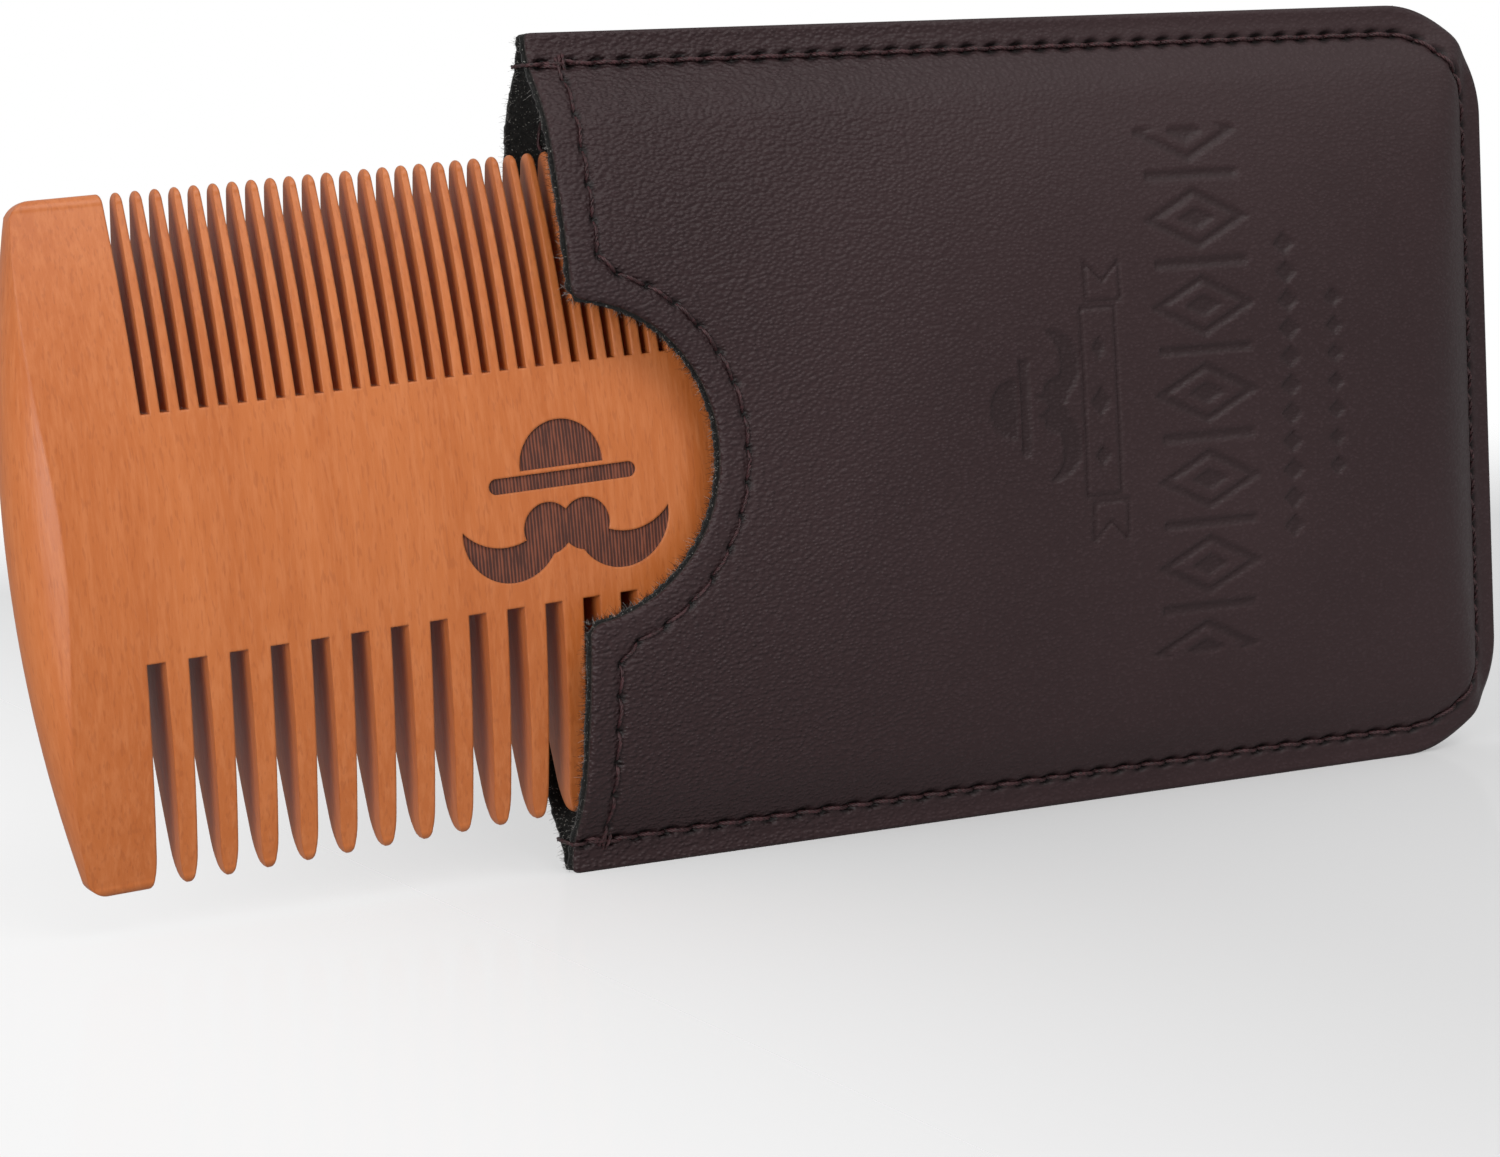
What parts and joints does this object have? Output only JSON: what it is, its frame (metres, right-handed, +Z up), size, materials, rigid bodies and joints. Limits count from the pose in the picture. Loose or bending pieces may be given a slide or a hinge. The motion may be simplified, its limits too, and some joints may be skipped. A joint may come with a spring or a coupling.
{
  "type": "beard comb with sleeve",
  "caption": "Double-sided wooden beard comb with fine and coarse teeth, half drawn out of a stitched, felt-lined leather sleeve with a thumb notch",
  "frame": {"origin": "middle of the long lower edge that the sleeve stands on, on the plane where its two halves meet", "axes": "+X from the open mouth to the closed end, +Z up across the sleeve, front panel with the thumb notch facing -Y"},
  "size_m": [0.1616, 0.0179, 0.08],
  "materials": {
    "pear_wood": "fine sanded, waxed satin",
    "leather": "very dark brown, fine grain, low satin",
    "felt": "black brushed felt",
    "sewing_thread": "dark burgundy twisted polyester"
  },
  "bodies": {
    "sleeve": {"front_panel": "leather", "front_lining": "felt", "back_panel": "leather", "back_lining": "felt", "perimeter_needle_thread": "sewing_thread", "perimeter_bobbin_thread": "sewing_thread", "front_mouth_needle_thread": "sewing_thread", "front_mouth_bobbin_thread": "sewing_thread", "back_mouth_needle_thread": "sewing_thread", "back_mouth_bobbin_thread": "sewing_thread"},
    "comb": {"comb": "pear_wood"}
  },
  "joints": [
    {"name": "comb_slide", "type": "slide", "parent": "sleeve", "child": "comb", "axis": [-0.999, 0, -0.0436], "range_m": [-0.048, 0.056]}
  ]
}
